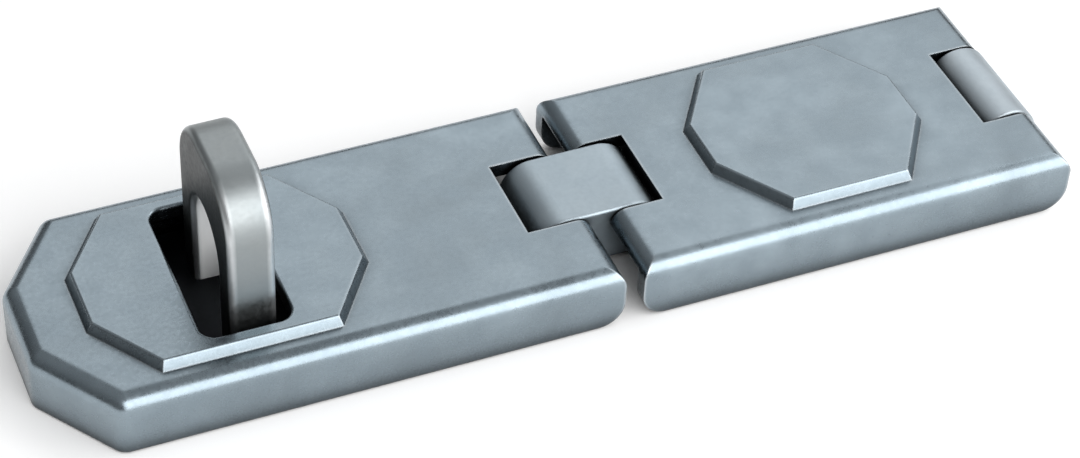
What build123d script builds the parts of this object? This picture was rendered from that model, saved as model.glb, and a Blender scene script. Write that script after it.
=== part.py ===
from build123d import *
import math
import os

# A double-jointed security hasp: two folded steel leaves joined by a short link, a hinge plate
# hidden under the right leaf, and a riveted staple that stands up through the left leaf.
# Millimetres. The origin is on the mounting plane, half way along the closed hasp.
# X runs along the hasp, away from the staple. Y runs along the hinge pins. Z is up.

# Overall sizes of the two folded leaves
overall_length = 154.3
leaf_width = 40.0
leaf_height = 9.8
sheet = 2.3
wall_clearance = 0.3
bend_radius = 2.6
inner_bend_radius = 0.4
corner_radius = 2.4

# Length of the left leaf, the gap between the leaves, and the chamfered left end
leaf_length = 82.9
leaf_gap = 2.8
end_edge_half = 7.15
end_chamfer = 9.1

# Rounded ends of the leaves beside each hinge
pin_to_end = 3.8
nose_radius = 2.8
heel_drop = 0.95

# Raised octagons, measured half way up their sloping sides from the left end
boss_height = 1.5
boss_slope = 0.85
boss_edge_radius = 0.4
left_boss_start = 9.2
left_boss_end = 49.2
left_boss_half_width = 15.85
left_boss_edge_half = 5.4
left_boss_chamfer = 7.3
right_boss_start = 103.2
right_boss_end = 136.8
right_boss_half_width = 15.8
right_boss_edge_half = 4.75
right_boss_chamfer = 7.4

# Hinge pins, knuckles and the notches that they turn in
pin_radius = 1.8
pin_clearance = 0.05
pin_seat_depth = 1.4
pin_end_gap = 0.1
pin_chamfer = 0.3
link_width = 14.2
link_edge_radius = 0.5
knuckle_width = 16.2
side_clearance = 0.35
turning_clearance = 0.3
left_notch_extra = 1.75
knuckle_edge_radius = 0.4
seam_gap = 0.6

# Mounting plates and their countersunk screw holes
plate_clearance = 0.7
plate_corner_radius = 2.0
plate_edge_radius = 0.3
screw_radius = 2.5
countersink_radius = 4.4
countersink_angle = 90
screw_spacing_y = 22.0
staple_screw_start = 13.5
staple_screw_end = 62.0
base_screw_start = 105.0
base_screw_end = 136.0
staple_plate_end = 71.5
base_plate_start = 97.5
tongue_setback = 5.6

# Staple, its riveted feet, and the slot that drops over it
staple_centre = 30.95
staple_thickness = 6.9
staple_leg = 5.1
staple_crown = 10.2
staple_half_width = 11.0
staple_height = 32.4
staple_shoulder_radius = 8.5
staple_edge_radius = 1.1
rivet_radius = 2.5
rivet_head_radius = 3.5
rivet_clearance = 0.02
slot_start = 23.0
slot_end = 36.0
slot_half_length = 13.6
slot_corner_radius = 2.2
slot_lip_radius = 0.5

# Cuts run this far past the faces that they open
overshoot = 1.0

# Places that follow from the sizes above
half_width = leaf_width / 2
inner_half_width = half_width - sheet
sheet_underside = leaf_height - sheet
pin_height = (leaf_height + wall_clearance) / 2
bore_radius = pin_radius + pin_clearance
# The hinge plate is rolled round its pin, so it is as thick as the height left under the bore
plate_thickness = pin_height - bore_radius
knuckle_radius = bore_radius + plate_thickness
link_radius = leaf_height - pin_height
# The round lower corner of a leaf is centred a little below its pin, so the leaves clear each other folded
heel_radius = pin_height - heel_drop - wall_clearance
# The roll reaches a little past the right end of the leaves
left_end = -(overall_length + knuckle_radius - pin_to_end) / 2
right_end = left_end + overall_length
leaf_end = left_end + leaf_length
cover_start = leaf_end + leaf_gap
leaf_pin_x = leaf_end - pin_to_end
cover_pin_x = cover_start + pin_to_end
end_pin_x = right_end - pin_to_end
plate_half_width = inner_half_width - plate_clearance
link_notch_half = link_width / 2 + side_clearance
end_notch_half = knuckle_width / 2 + side_clearance
eye_half = staple_half_width - staple_leg
eye_centre = staple_height - staple_crown - eye_half
boss_taper = math.degrees(math.atan2(boss_slope, boss_height))
# The inside of each bend in the sheet lies this much further in than its outside
boss_inset = sheet * math.tan(math.radians(90 - boss_taper) / 2)
# A notch wall is one sheet high, so a round knuckle comes nearest to it at the sheet's underside
wall_rise = sheet_underside - pin_height
link_reach = math.sqrt(link_radius**2 - wall_rise**2) + turning_clearance
knuckle_reach = math.sqrt(knuckle_radius**2 - wall_rise**2) + turning_clearance


def at(distance):
    """X of a place that is this far from the left end of the hasp."""
    return left_end + distance


def octagon(start, end, half, edge_half, chamfer, inset):
    """Face of a long octagon with its sides moved in by inset."""
    Polygon(
        (start, -edge_half),
        (start + chamfer, -half),
        (end - chamfer, -half),
        (end, -edge_half),
        (end, edge_half),
        (end - chamfer, half),
        (start + chamfer, half),
        (start, edge_half),
        align=None,
    )
    offset(amount=-inset, kind=Kind.INTERSECTION)


def left_octagon(inset):
    """Outline of the raised octagon on the hasp leaf."""
    octagon(
        at(left_boss_start),
        at(left_boss_end),
        left_boss_half_width,
        left_boss_edge_half,
        left_boss_chamfer,
        inset,
    )


def right_octagon(inset):
    """Outline of the raised octagon on the cover leaf."""
    octagon(
        at(right_boss_start),
        at(right_boss_end),
        right_boss_half_width,
        right_boss_edge_half,
        right_boss_chamfer,
        inset,
    )


def chamfered_outline(end, inset):
    """Outline with the hasp leaf's chamfered left end, moved in by inset, cut square at X = end."""
    Polygon(
        (left_end, -end_edge_half),
        (left_end + end_chamfer, -half_width),
        (end + leaf_width, -half_width),
        (end + leaf_width, half_width),
        (left_end + end_chamfer, half_width),
        (left_end, end_edge_half),
        align=None,
    )
    if inset:
        offset(amount=-inset, kind=Kind.INTERSECTION)
    with Locations((end, 0)):
        Rectangle(2 * leaf_width, 2 * leaf_width, align=(Align.MIN, Align.CENTER), mode=Mode.SUBTRACT)


def side_view(start, end, rounded_ends):
    """Side view of a leaf: its hinge ends have a nose at the top and a round corner below."""
    height = leaf_height - wall_clearance
    with Locations(((start + end) / 2, wall_clearance + height / 2)):
        Rectangle(end - start, height)
    for x in rounded_ends:
        for radius, z in ((nose_radius, leaf_height), (heel_radius, wall_clearance)):
            fillet(vertices().sort_by_distance((x, z))[0], radius)


def seat_pin(x):
    """Blind seats for one hinge pin in the two skirts of a leaf."""
    reach = inner_half_width + pin_seat_depth + pin_end_gap
    with Locations((x, 0, pin_height)):
        Cylinder(bore_radius, 2 * reach, rotation=(90, 0, 0), mode=Mode.SUBTRACT)


def cut_notch(start, end, half):
    """Square notch right through the top sheet of a leaf."""
    with Locations(((start + end) / 2, 0, sheet_underside)):
        Box(end - start, 2 * half, 2 * (sheet + boss_height), mode=Mode.SUBTRACT)


# Hasp leaf: one folded sheet with skirts on three sides, over the staple plate
with BuildPart() as hasp_leaf:
    with BuildSketch(Plane.XY.offset(wall_clearance)):
        chamfered_outline(leaf_end, 0)
    extrude(amount=leaf_height - wall_clearance)
    upright = hasp_leaf.edges().filter_by(Axis.Z).filter_by(lambda e: e.center().X < leaf_pin_x)
    fillet(upright, corner_radius)
    rim = hasp_leaf.faces().sort_by(Axis.Z)[-1].edges().filter_by(lambda e: e.center().X < leaf_pin_x)
    fillet(rim, bend_radius)
    with BuildSketch(Plane.XZ):
        side_view(left_end, leaf_end, [leaf_end])
    extrude(amount=half_width, both=True, mode=Mode.INTERSECT)
    with BuildSketch(Plane.XY.offset(leaf_height)):
        left_octagon(-boss_slope / 2)
    extrude(amount=boss_height, taper=boss_taper)
    fillet(hasp_leaf.faces().sort_by(Axis.Z)[-1].edges(), boss_edge_radius)
    # Hollow under the sheet, with the inside of each fold
    with BuildSketch(Plane.XY):
        chamfered_outline(right_end, sheet)
    extrude(amount=sheet_underside, mode=Mode.SUBTRACT)
    folds = hasp_leaf.edges().filter_by(lambda e: math.isclose(e.center().Z, sheet_underside))
    fillet(folds.filter_by(lambda e: e.center().X < leaf_pin_x), inner_bend_radius)
    with BuildSketch(Plane.XY.offset(sheet_underside)):
        left_octagon(boss_inset - boss_slope / 2)
    extrude(amount=boss_height, taper=boss_taper, mode=Mode.SUBTRACT)
    # Slot that drops over the staple
    with BuildSketch(Plane.XY):
        with Locations((at((slot_start + slot_end) / 2), 0)):
            RectangleRounded(slot_end - slot_start, 2 * slot_half_length, slot_corner_radius)
    extrude(amount=leaf_height + 2 * boss_height, mode=Mode.SUBTRACT)
    lip = hasp_leaf.faces().sort_by(Axis.Z)[-1].inner_wires().edges()
    fillet(lip, slot_lip_radius)
    cut_notch(leaf_pin_x - link_reach - left_notch_extra, leaf_end + overshoot, link_notch_half)
    seat_pin(leaf_pin_x)
hasp_leaf.part.label = "hasp_leaf"

# Cover leaf: a folded channel over the hinge plate, notched for the link and the end knuckle
with BuildPart() as cover_leaf:
    with BuildSketch(Plane.XY.offset(wall_clearance)):
        with Locations(((cover_start + right_end) / 2, 0)):
            Rectangle(right_end - cover_start, leaf_width)
    extrude(amount=leaf_height - wall_clearance)
    fillet(cover_leaf.faces().sort_by(Axis.Z)[-1].edges().filter_by(Axis.X), bend_radius)
    with BuildSketch(Plane.XZ):
        side_view(cover_start, right_end, [cover_start, right_end])
    extrude(amount=half_width, both=True, mode=Mode.INTERSECT)
    with BuildSketch(Plane.XY.offset(leaf_height)):
        right_octagon(-boss_slope / 2)
    extrude(amount=boss_height, taper=boss_taper)
    fillet(cover_leaf.faces().sort_by(Axis.Z)[-1].edges(), boss_edge_radius)
    # Hollow under the sheet, open at both ends
    with BuildSketch(Plane.YZ.offset(cover_start)):
        Rectangle(2 * inner_half_width, 2 * sheet_underside)
        fillet(vertices().group_by(Axis.Y)[-1], inner_bend_radius)
    extrude(amount=right_end - cover_start, mode=Mode.SUBTRACT)
    with BuildSketch(Plane.XY.offset(sheet_underside)):
        right_octagon(boss_inset - boss_slope / 2)
    extrude(amount=boss_height, taper=boss_taper, mode=Mode.SUBTRACT)
    cut_notch(cover_start - overshoot, cover_pin_x + link_reach, link_notch_half)
    cut_notch(end_pin_x - knuckle_reach, right_end + overshoot, end_notch_half)
    seat_pin(cover_pin_x)
    seat_pin(end_pin_x)
cover_leaf.part.label = "cover_leaf"

# Link: a solid flat-topped bar with a bore at each end
with BuildPart() as link:
    with BuildSketch(Plane.XZ):
        with Locations(((leaf_pin_x + cover_pin_x) / 2, pin_height)):
            SlotCenterToCenter(cover_pin_x - leaf_pin_x, 2 * link_radius)
    extrude(amount=link_width / 2, both=True)
    sides = link.faces().sort_by(Axis.Y)
    fillet(sides[0].edges() + sides[-1].edges(), link_edge_radius)
    with BuildSketch(Plane.XZ):
        with Locations((leaf_pin_x, pin_height), (cover_pin_x, pin_height)):
            Circle(bore_radius)
    extrude(amount=link_width / 2, both=True, mode=Mode.SUBTRACT)
link.part.label = "link"


def build_pin(x, name):
    """Straight hinge pin with chamfered ends, seated in both skirts of its leaf."""
    with BuildPart() as pin:
        with BuildSketch(Plane.XZ):
            with Locations((x, pin_height)):
                Circle(pin_radius)
        extrude(amount=inner_half_width + pin_seat_depth, both=True)
        chamfer(pin.edges().filter_by(GeomType.CIRCLE), pin_chamfer)
    pin.part.label = name
    return pin


leaf_pin = build_pin(leaf_pin_x, "leaf_pin")
cover_pin = build_pin(cover_pin_x, "cover_pin")
end_pin = build_pin(end_pin_x, "end_pin")

# Hinge plate: four countersunk screw holes and a tongue rolled round the end pin
with BuildPart() as base_plate:
    tongue_start = end_pin_x - tongue_setback
    with BuildSketch(Plane.XY):
        with Locations(((at(base_plate_start) + tongue_start) / 2, 0)):
            RectangleRounded(
                tongue_start - at(base_plate_start), 2 * plate_half_width, plate_corner_radius
            )
        with Locations((tongue_start - plate_corner_radius, 0)):
            Rectangle(
                end_pin_x - tongue_start + plate_corner_radius,
                knuckle_width,
                align=(Align.MIN, Align.CENTER),
            )
    extrude(amount=plate_thickness)
    rim = base_plate.faces().sort_by(Axis.Z)[-1].edges()
    fillet(rim.filter_by(lambda e: e.center().X < tongue_start), plate_edge_radius)
    with BuildSketch(Plane.XY.offset(pin_height)):
        with Locations((end_pin_x, 0)):
            RectangleRounded(2 * knuckle_radius, knuckle_width, knuckle_edge_radius)
            Rectangle(
                knuckle_radius,
                knuckle_width,
                align=(Align.MIN, Align.CENTER),
                mode=Mode.INTERSECT,
            )
    revolve(axis=Axis((end_pin_x, 0, pin_height), (0, 1, 0)))
    with BuildSketch(Plane.XZ):
        with Locations((end_pin_x, pin_height)):
            Circle(bore_radius)
        # Open seam, where the rolled end stops just above the plate
        with Locations((end_pin_x, plate_thickness)):
            Rectangle(2 * knuckle_radius, seam_gap, align=(Align.MAX, Align.MIN))
    extrude(amount=knuckle_width / 2, both=True, mode=Mode.SUBTRACT)
    with Locations((at((base_screw_start + base_screw_end) / 2), 0, plate_thickness)):
        with GridLocations(base_screw_end - base_screw_start, screw_spacing_y, 2, 2):
            CounterSinkHole(
                screw_radius,
                countersink_radius,
                2 * plate_thickness,
                counter_sink_angle=countersink_angle,
            )
base_plate.part.label = "base_plate"

# Staple plate: follows the inside of the hasp leaf, with the staple's two riveted feet
with BuildPart() as staple_plate:
    with BuildSketch(Plane.XY):
        chamfered_outline(at(staple_plate_end), sheet + plate_clearance)
        fillet(vertices(), plate_corner_radius)
    extrude(amount=plate_thickness)
    fillet(staple_plate.faces().sort_by(Axis.Z)[-1].edges(), plate_edge_radius)
    foot_spacing = 2 * staple_half_width - staple_leg
    with Locations((at(staple_centre), 0, 0)):
        with GridLocations(0, foot_spacing, 1, 2):
            with Locations(Rotation(180, 0, 0)):
                CounterSinkHole(
                    rivet_radius + rivet_clearance,
                    rivet_head_radius + rivet_clearance,
                    2 * plate_thickness,
                    counter_sink_angle=countersink_angle,
                )
    with Locations((at((staple_screw_start + staple_screw_end) / 2), 0, plate_thickness)):
        with GridLocations(staple_screw_end - staple_screw_start, screw_spacing_y, 2, 2):
            CounterSinkHole(
                screw_radius,
                countersink_radius,
                2 * plate_thickness,
                counter_sink_angle=countersink_angle,
            )
staple_plate.part.label = "staple_plate"

# Staple: two straight legs under a thick crown, with round feet riveted under the plate
with BuildPart() as staple:
    with BuildSketch(Plane.YZ.offset(at(staple_centre))):
        with Locations((0, plate_thickness)):
            Rectangle(
                2 * staple_half_width,
                staple_height - plate_thickness,
                align=(Align.CENTER, Align.MIN),
            )
        fillet(vertices().group_by(Axis.Y)[-1], staple_shoulder_radius)
        with Locations((0, eye_centre)):
            Circle(eye_half, mode=Mode.SUBTRACT)
        with Locations((0, plate_thickness)):
            Rectangle(
                2 * eye_half,
                eye_centre - plate_thickness,
                align=(Align.CENTER, Align.MIN),
                mode=Mode.SUBTRACT,
            )
    extrude(amount=staple_thickness / 2, both=True)
    long_edges = staple.edges().filter_by(lambda e: e.center().Z > staple_thickness)
    fillet(long_edges.filter_by(Axis.X, reverse=True), staple_edge_radius)
    with BuildSketch(Plane.XY):
        with Locations((at(staple_centre), 0)):
            with GridLocations(0, foot_spacing, 1, 2):
                Circle(rivet_radius)
    extrude(amount=plate_thickness)
    with BuildSketch(Plane.XY):
        with Locations((at(staple_centre), 0)):
            with GridLocations(0, foot_spacing, 1, 2):
                Circle(rivet_head_radius)
    extrude(amount=rivet_head_radius - rivet_radius, taper=countersink_angle / 2)
staple.part.label = "staple"

os.makedirs("parts", exist_ok=True)
for piece in (
    hasp_leaf,
    cover_leaf,
    link,
    leaf_pin,
    cover_pin,
    end_pin,
    base_plate,
    staple_plate,
    staple,
):
    export_step(piece.part, f"parts/{piece.part.label}.step")
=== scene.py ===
import math
import bpy
from mathutils import Matrix, Vector

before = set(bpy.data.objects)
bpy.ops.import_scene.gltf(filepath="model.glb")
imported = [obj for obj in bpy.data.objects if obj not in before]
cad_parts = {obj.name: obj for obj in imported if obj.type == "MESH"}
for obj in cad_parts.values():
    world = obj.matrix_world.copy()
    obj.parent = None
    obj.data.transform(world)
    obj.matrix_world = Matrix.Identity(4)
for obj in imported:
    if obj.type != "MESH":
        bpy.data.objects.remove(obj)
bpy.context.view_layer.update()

scene = bpy.context.scene

# Noise scales, in features per metre
CLOUD_SCALE = 55.0
PATCH_SCALE = 190.0
GRAIN_SCALE = 1500.0

# Radii, reaches and heights, in metres
RUBBED_RADIUS = 0.0007
SHADED_RADIUS = 0.00025
CREASE_REACH = 0.0028
BUMP_HEIGHT = 0.00006
# Top and bottom of the band of painted shade low down
LOW_SHADE_TOP = 0.0080
LOW_SHADE_BOTTOM = 0.0010
EYE_BLEND = 0.0005

# Samples of each bevel and openness node
NODE_SAMPLES = 6

# Where each mask starts and where it is full, and for some also its least and greatest strength
EDGE_COSINE = (0.995, 0.90)
CREASE_OPENNESS = (0.90, 0.50)
CLOUD_TONES = (0.32, 0.68)
PATCH_TONES = (0.35, 0.65, 0.0, 0.5)
GLOSS_TONES = (0.3, 0.7)
LOW_SHADE_TONES = (0.3, 0.7, 0.6, 1.0)
RUBBED_TONES = (0.3, 0.65, 0.45, 1.0)
LEG_TONES = (0.3, 0.6, 0.55, 0.95)
SIDE_FACING = (0.75, 0.97)
TOP_FACING = (0.6, 0.9)
EYE_FACING = (0.35, 0.15)
LEG_FACING = (0.35, 0.65)
LEG_RIM = (0.60, 0.80)

# How strongly each layer shows
PATCH_DEPTH = 0.8
CREASE_SHADE_SHARE = 0.86
EYE_MATT = 0.9
GRAIN_SHARE = 0.175
BUMP_STRENGTH = 0.35

# How clouds, grain, rubbed edges and creases change the roughness
CLOUD_GLOSS, CLOUD_DULL = 0.05, 0.06
GRAIN_DULL = 0.05
RUBBED_GLOSS = 0.10
CREASE_DULL = 0.12

# Each colour channel of the cooler patches, and each coordinate's share of a seed
COOLER = (0.98, 1.0, 1.02)
SEED_SHARES = (1.0, 0.7, 0.3)

# Colours that wear lays over the metal, and colours of painted shade and painted highlights
RUBBED_COLOUR = (0.70, 0.73, 0.75, 1)
CREASE_SHADE_COLOUR = (0.028, 0.031, 0.033, 1)
GAP_SHADE_COLOUR = (0.012, 0.013, 0.015, 1)
LOW_SHADE_COLOUR = (0.10, 0.112, 0.115, 1)
EYE_HIGHLIGHT_COLOUR = (0.92, 0.93, 0.93, 1)
LEG_HIGHLIGHT_COLOUR = (0.66, 0.68, 0.69, 1)

# Painted shade in gaps: how far one reaches in metres, the openness where the shade starts and where it is
# full
LEAF_GAP = (0.008, 0.70, 0.34)
HINGE_GAP = (0.006, 0.40, 0.12)
COVERED_GAP = (0.025, 0.80, 0.58)
STAPLE_GAP = (0.008, 0.30, 0.10)

# The staple's eye and legs, in metres in the shared frame
EYE = {"half_width": 0.0061, "top": 0.0224, "centre_x": -0.046825, "half_thickness": 0.00345}


class Tree:
    """Node tree of a material or world, emptied and then filled by short calls."""

    def __init__(self, owner, output="ShaderNodeOutputMaterial"):
        owner.use_nodes = True
        self.nodes = owner.node_tree.nodes
        self.links = owner.node_tree.links
        self.nodes.clear()
        self.surface = self.nodes.new(output).inputs["Surface"]

    def put(self, socket, value):
        """Link another node's output to the socket, or set a plain value on it."""
        if isinstance(value, bpy.types.NodeSocket):
            self.links.new(value, socket)
        elif value is not None:
            socket.default_value = value

    def node(self, kind, values=(), **settings):
        made = self.nodes.new(kind)
        for key, value in settings.items():
            setattr(made, key, value)
        for key, value in dict(values).items():
            self.put(made.inputs[key], value)
        return made

    def math(self, operation, a, b=None, clamp=False):
        made = self.node("ShaderNodeMath", operation=operation, use_clamp=clamp)
        self.put(made.inputs[0], a)
        self.put(made.inputs[1], b)
        return made.outputs[0]

    def times(self, a, b, clamp=False):
        return self.math("MULTIPLY", a, b, clamp)

    def size_of(self, value):
        return self.math("ABSOLUTE", value)

    def ramp(self, value, low, high, to_low=0.0, to_high=1.0):
        """Map low..high to to_low..to_high, clamped. low may be the larger one."""
        limits = {"Value": value, "From Min": low, "From Max": high, "To Min": to_low, "To Max": to_high}
        return self.node("ShaderNodeMapRange", limits, clamp=True).outputs["Result"]

    def noise(self, where, scale, detail, roughness=0.5, distortion=0.0):
        settings = {"Vector": where, "Scale": scale, "Detail": detail,
                    "Roughness": roughness, "Distortion": distortion}
        return self.node("ShaderNodeTexNoise", settings).outputs[0]

    def mix(self, factor, a, b):
        """Mix two colours. Their sockets come after those for numbers and vectors."""
        return self.node("ShaderNodeMix", {0: factor, 6: a, 7: b}, data_type="RGBA").outputs[2]

    def split(self, vector):
        return self.node("ShaderNodeSeparateXYZ", {0: vector}).outputs

    def vectors(self, operation, a, b):
        return self.node("ShaderNodeVectorMath", {0: a, 1: b}, operation=operation).outputs

    def rounded(self, radius):
        """Normal with the edges rounded off."""
        return self.node("ShaderNodeBevel", {"Radius": radius}, samples=NODE_SAMPLES).outputs[0]

    def openness(self, reach, samples=NODE_SAMPLES):
        """1 in the open, towards 0 where other surfaces are near."""
        return self.node("ShaderNodeAmbientOcclusion", {"Distance": reach}, samples=samples).outputs["AO"]


def shade(colour, factor):
    return tuple(min(1.0, c * factor) for c in colour) + (1,)


def eye_inside(t, spot, normal, eye):
    """Mask of the surfaces inside the staple's eye."""
    across = t.ramp(t.size_of(spot["Y"]), eye["half_width"] + EYE_BLEND, eye["half_width"])
    below = t.ramp(spot["Z"], eye["top"] + EYE_BLEND, eye["top"])
    inside = t.ramp(t.size_of(t.split(normal)["X"]), *EYE_FACING)
    return t.times(t.times(across, below), inside)


def leg_highlight_edges(t, spot, normal, eye):
    """Mask of the legs' edges, where a highlight is painted."""
    off_centre = t.size_of(t.math("SUBTRACT", spot["X"], eye["centre_x"]))
    beside = t.ramp(off_centre, *(eye["half_thickness"] * share for share in LEG_RIM))
    return t.times(beside, t.ramp(t.size_of(t.split(normal)["Y"]), *LEG_FACING))


def steel(name, colour, rough, mottle=0.10, rub=0.55, seed=0.0, side_shade=None, eye=None, low_shade=None,
          gap=LEAF_GAP, tops=False):
    """Steel or zinc plating with cloudy patches, a fine grain, rubbed edges and painted shade in creases.

    mottle is the depth of the clouds, rub the strength of the rubbed edges, and seed moves the noise.
    sides is the colour of painted shade on a staple's broad faces, and eye gives its eye with a painted
    highlight inside it and on its legs. grime is the strength of painted shade low down. gap sets the
    painted shade in gaps, and with tops only the upward faces take it.
    """
    material = bpy.data.materials.new(name)
    t = Tree(material)
    coordinates = t.node("ShaderNodeTexCoord").outputs
    place, normal = coordinates["Object"], coordinates["Normal"]
    where = t.vectors("ADD", place, tuple(seed * share for share in SEED_SHARES))[0]
    clouds = t.noise(where, CLOUD_SCALE, detail=4.0, roughness=0.55, distortion=0.3)
    patches = t.noise(where, PATCH_SCALE, detail=3.0)
    grain = t.noise(where, GRAIN_SCALE, detail=2.0, roughness=0.6)
    # Rubbed convex edges, and creases that are duller and take painted shade, found from the rounded
    # normal and from the room around a point
    true_normal = t.node("ShaderNodeNewGeometry").outputs["Normal"]
    turn = t.vectors("DOT_PRODUCT", t.rounded(RUBBED_RADIUS), true_normal)["Value"]
    crease_shade = t.ramp(t.openness(CREASE_REACH), *CREASE_OPENNESS)
    rubbed = t.times(t.ramp(turn, *EDGE_COSINE), t.math("SUBTRACT", 1.0, crease_shade), clamp=True)
    rubbed = t.times(rubbed, t.ramp(patches, *RUBBED_TONES))
    # Cloudy plating with cooler patches
    base = t.mix(t.ramp(clouds, *CLOUD_TONES), shade(colour, 1 - mottle), shade(colour, 1 + mottle))
    cooler = tuple(c * factor for c, factor in zip(colour, COOLER))
    base = t.mix(t.ramp(patches, *PATCH_TONES), base, shade(cooler, 1 - PATCH_DEPTH * mottle))
    if side_shade:
        # Painted shade: the staple's broad faces get a much darker colour than its outer face
        base = t.mix(t.ramp(t.size_of(t.split(normal)["X"]), *SIDE_FACING), base, side_shade)
    if low_shade:
        # Painted shade: a darker band low down, next to the floor that the hasp lies on
        low = t.ramp(t.split(place)["Z"], LOW_SHADE_TOP, LOW_SHADE_BOTTOM)
        band = t.times(low, t.ramp(clouds, *LOW_SHADE_TONES))
        base = t.mix(t.times(band, low_shade), base, LOW_SHADE_COLOUR)
    base = t.mix(t.times(rubbed, rub), base, RUBBED_COLOUR)
    # Painted shade in creases
    base = t.mix(t.times(crease_shade, CREASE_SHADE_SHARE), base, CREASE_SHADE_COLOUR)
    # Painted shade in deep gaps and on covered surfaces
    reach, open_level, dark_level = gap
    gap_shade = t.ramp(t.openness(reach), open_level, dark_level)
    if tops:
        gap_shade = t.times(gap_shade, t.ramp(t.split(normal)["Z"], *TOP_FACING))
    base = t.mix(gap_shade, base, GAP_SHADE_COLOUR)
    metallic = 1.0
    if eye:
        # Painted highlight: inside the eye the metal is painted pale and matt, and the legs get painted
        # highlights along their edges
        spot = t.split(place)
        inside = eye_inside(t, spot, normal, eye)
        base = t.mix(inside, base, EYE_HIGHLIGHT_COLOUR)
        leg_highlight = t.times(leg_highlight_edges(t, spot, normal, eye), t.ramp(patches, *LEG_TONES))
        base = t.mix(leg_highlight, base, LEG_HIGHLIGHT_COLOUR)
        metallic = t.math("SUBTRACT", 1.0, t.times(inside, EYE_MATT))
    roughness = t.ramp(clouds, *GLOSS_TONES, rough - CLOUD_GLOSS, rough + CLOUD_DULL)
    roughness = t.math("ADD", roughness, t.ramp(grain, *GLOSS_TONES, -GRAIN_DULL, GRAIN_DULL))
    roughness = t.math("SUBTRACT", roughness, t.times(rubbed, RUBBED_GLOSS))
    roughness = t.math("ADD", roughness, t.times(crease_shade, CREASE_DULL), clamp=True)
    bump = t.node("ShaderNodeBump", {
        "Strength": BUMP_STRENGTH,
        "Distance": BUMP_HEIGHT,
        "Height": t.math("ADD", patches, t.times(grain, GRAIN_SHARE)),
        "Normal": t.rounded(SHADED_RADIUS),
    })
    shader = t.node("ShaderNodeBsdfPrincipled", {
        "Base Color": base,
        "Metallic": metallic,
        "Roughness": roughness,
        "Normal": bump.outputs[0],
    })
    t.put(t.surface, shader.outputs[0])
    return material


leaf_steel = steel("leaf_steel", (0.270, 0.325, 0.362), 0.28, mottle=0.19, low_shade=0.30)
link_steel = steel("link_steel", (0.43, 0.50, 0.545), 0.50, seed=0.31, gap=HINGE_GAP)
plate_steel = steel("plate_steel", (0.50, 0.56, 0.60), 0.50, seed=0.57, gap=HINGE_GAP)
# A darker copy of plate_steel for the covered staple plate: painted shade, with more painted shade on its
# upward faces in the covered gap
shaded_plate_steel = steel("shaded_plate_steel", (0.16, 0.18, 0.19), 0.46, seed=0.57, gap=COVERED_GAP, tops=True)
pin_steel = steel("pin_steel", (0.42, 0.45, 0.47), 0.28, mottle=0.05, seed=0.83)
staple_steel = steel(
    "staple_steel", (0.33, 0.355, 0.36), 0.43, mottle=0.07, rub=0.85, seed=0.19,
    side_shade=(0.045, 0.05, 0.05, 1), eye=EYE, gap=STAPLE_GAP,
)

finishes = {
    "hasp_leaf": leaf_steel,
    "cover_leaf": leaf_steel,
    "link": link_steel,
    "leaf_pin": pin_steel,
    "cover_pin": pin_steel,
    "end_pin": pin_steel,
    "base_plate": plate_steel,
    "staple_plate": shaded_plate_steel,
    "staple": staple_steel,
}
for node_name, material in finishes.items():
    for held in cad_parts[node_name].material_slots:
        held.material = material

# Floor
FLOOR_REACH = 6.0
FLOOR_DROP = 0.0001
FLOOR_COLOUR = (0.85, 0.85, 0.85, 1)
LIFT = 0.28
UNDER_REACH = 0.02
UNDER_SAMPLES = 8
UNDER_OPENNESS = (0.12, 0.45)

signs = ((-1, -1), (1, -1), (1, 1), (-1, 1))
floor_data = bpy.data.meshes.new("floor")
floor_data.from_pydata([(x * FLOOR_REACH, y * FLOOR_REACH, 0) for x, y in signs], [], [(0, 1, 2, 3)])
floor = bpy.data.objects.new("floor", floor_data)
scene.collection.objects.link(floor)
floor.location.z = -FLOOR_DROP
floor_material = bpy.data.materials.new("floor")
f = Tree(floor_material)
paint = f.node("ShaderNodeBsdfPrincipled", {
    "Base Color": FLOOR_COLOUR,
    "Roughness": 0.9,
    "Specular IOR Level": 0.1,
})
# The backdrop is lifted to white where it is seen, also in reflections, without lighting the object
rays = f.node("ShaderNodeLightPath").outputs
seen = f.math("ADD", rays["Is Camera Ray"], rays["Is Glossy Ray"])
seen = f.math("ADD", seen, rays["Is Transmission Ray"], clamp=True)
# In the narrow gaps under the object the lift fades out, a painted shade there
seen = f.times(seen, f.ramp(f.openness(UNDER_REACH, UNDER_SAMPLES), *UNDER_OPENNESS))
lift = f.node("ShaderNodeEmission", {"Strength": f.times(seen, LIFT)})
both = f.node("ShaderNodeAddShader", {0: paint.outputs[0], 1: lift.outputs[0]})
f.put(f.surface, both.outputs[0])
floor_data.materials.append(floor_material)

# World: dim near the horizon and brighter overhead
WORLD_COLOUR = (0.97, 0.985, 1.0, 1)
WORLD_HEIGHTS = (0.05, 0.90)
WORLD_LEVELS = (0.08, 0.42)

world = bpy.data.worlds.new("studio")
scene.world = world
w = Tree(world, "ShaderNodeOutputWorld")
height = w.split(w.node("ShaderNodeTexCoord").outputs["Generated"])["Z"]
sky = w.node("ShaderNodeBackground", {
    "Color": WORLD_COLOUR,
    "Strength": w.ramp(height, *WORLD_HEIGHTS, *WORLD_LEVELS),
})
w.put(w.surface, sky.outputs[0])


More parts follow.
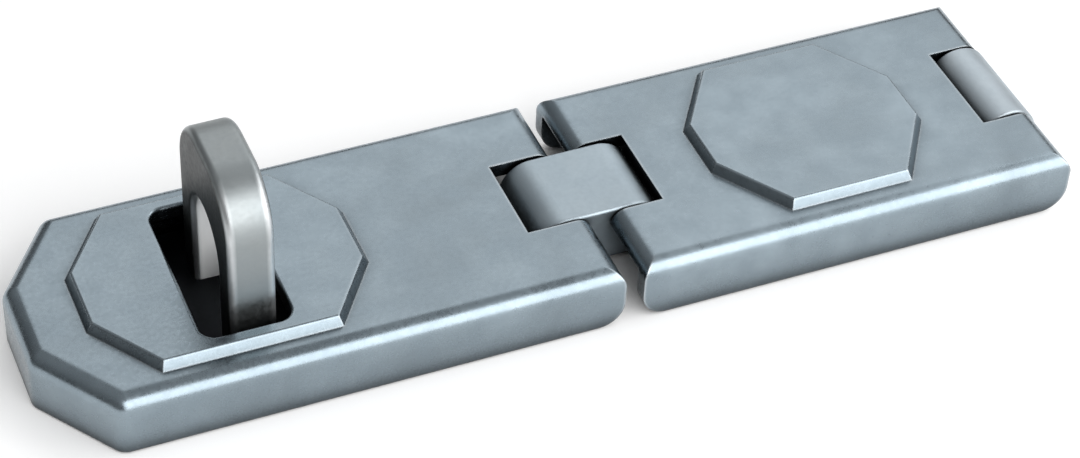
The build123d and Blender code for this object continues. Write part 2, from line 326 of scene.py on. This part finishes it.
def softbox(name, direction, distance, size, radiance):
    """Rectangular lamp that faces the object. Its energy gives a surface of this radiance."""
    data = bpy.data.lights.new(name, "AREA")
    data.shape = "RECTANGLE"
    data.size, data.size_y = size
    data.energy = radiance * math.pi * size[0] * size[1]
    lamp = bpy.data.objects.new(name, data)
    scene.collection.objects.link(lamp)
    out = Vector(direction).normalized()
    lamp.location = out * distance
    lamp.rotation_mode = "QUATERNION"
    lamp.rotation_quaternion = (-out).to_track_quat("-Z", "Y")


softbox("front_box", (0.38, -0.80, 0.48), distance=1.2, size=(1.7, 1.15), radiance=3.1)
softbox("back_box", (0.53, 0.61, 0.66), distance=1.3, size=(1.8, 1.1), radiance=0.95)
softbox("right_box", (0.85, -0.05, 0.75), distance=1.3, size=(0.8, 0.8), radiance=1.6)

# Camera, fitted to the photograph: pixels of its frame, degrees and metres
WIDTH = 1080
FOCAL_PIXELS = 2845.1
SHIFT_PIXELS = (100.26, -4.47)
SENSOR_MM = 36.0
AZIMUTH, ELEVATION, ROLL = (math.radians(v) for v in (-21.96, 42.63, 1.29))
TARGET = Vector((-0.01202, 0.00826, 0.0))
DISTANCE = 0.41875

back = Vector((
    math.sin(AZIMUTH) * math.cos(ELEVATION),
    -math.cos(AZIMUTH) * math.cos(ELEVATION),
    math.sin(ELEVATION),
))
level_right = Vector((0, 0, 1)).cross(back).normalized()
level_up = back.cross(level_right)
right = level_right * math.cos(ROLL) + level_up * math.sin(ROLL)
up = level_up * math.cos(ROLL) - level_right * math.sin(ROLL)
camera_data = bpy.data.cameras.new("camera")
camera = bpy.data.objects.new("camera", camera_data)
scene.collection.objects.link(camera)
camera_data.sensor_fit = "HORIZONTAL"
camera_data.sensor_width = SENSOR_MM
camera_data.lens = FOCAL_PIXELS * SENSOR_MM / WIDTH
camera_data.shift_x, camera_data.shift_y = (pixels / WIDTH for pixels in SHIFT_PIXELS)
camera_data.clip_start, camera_data.clip_end = 0.01, 50.0
turned = Matrix((right, up, back)).transposed().to_4x4()
camera.matrix_world = Matrix.Translation(TARGET + back * DISTANCE) @ turned
scene.camera = camera

scene.view_settings.view_transform = "Standard"
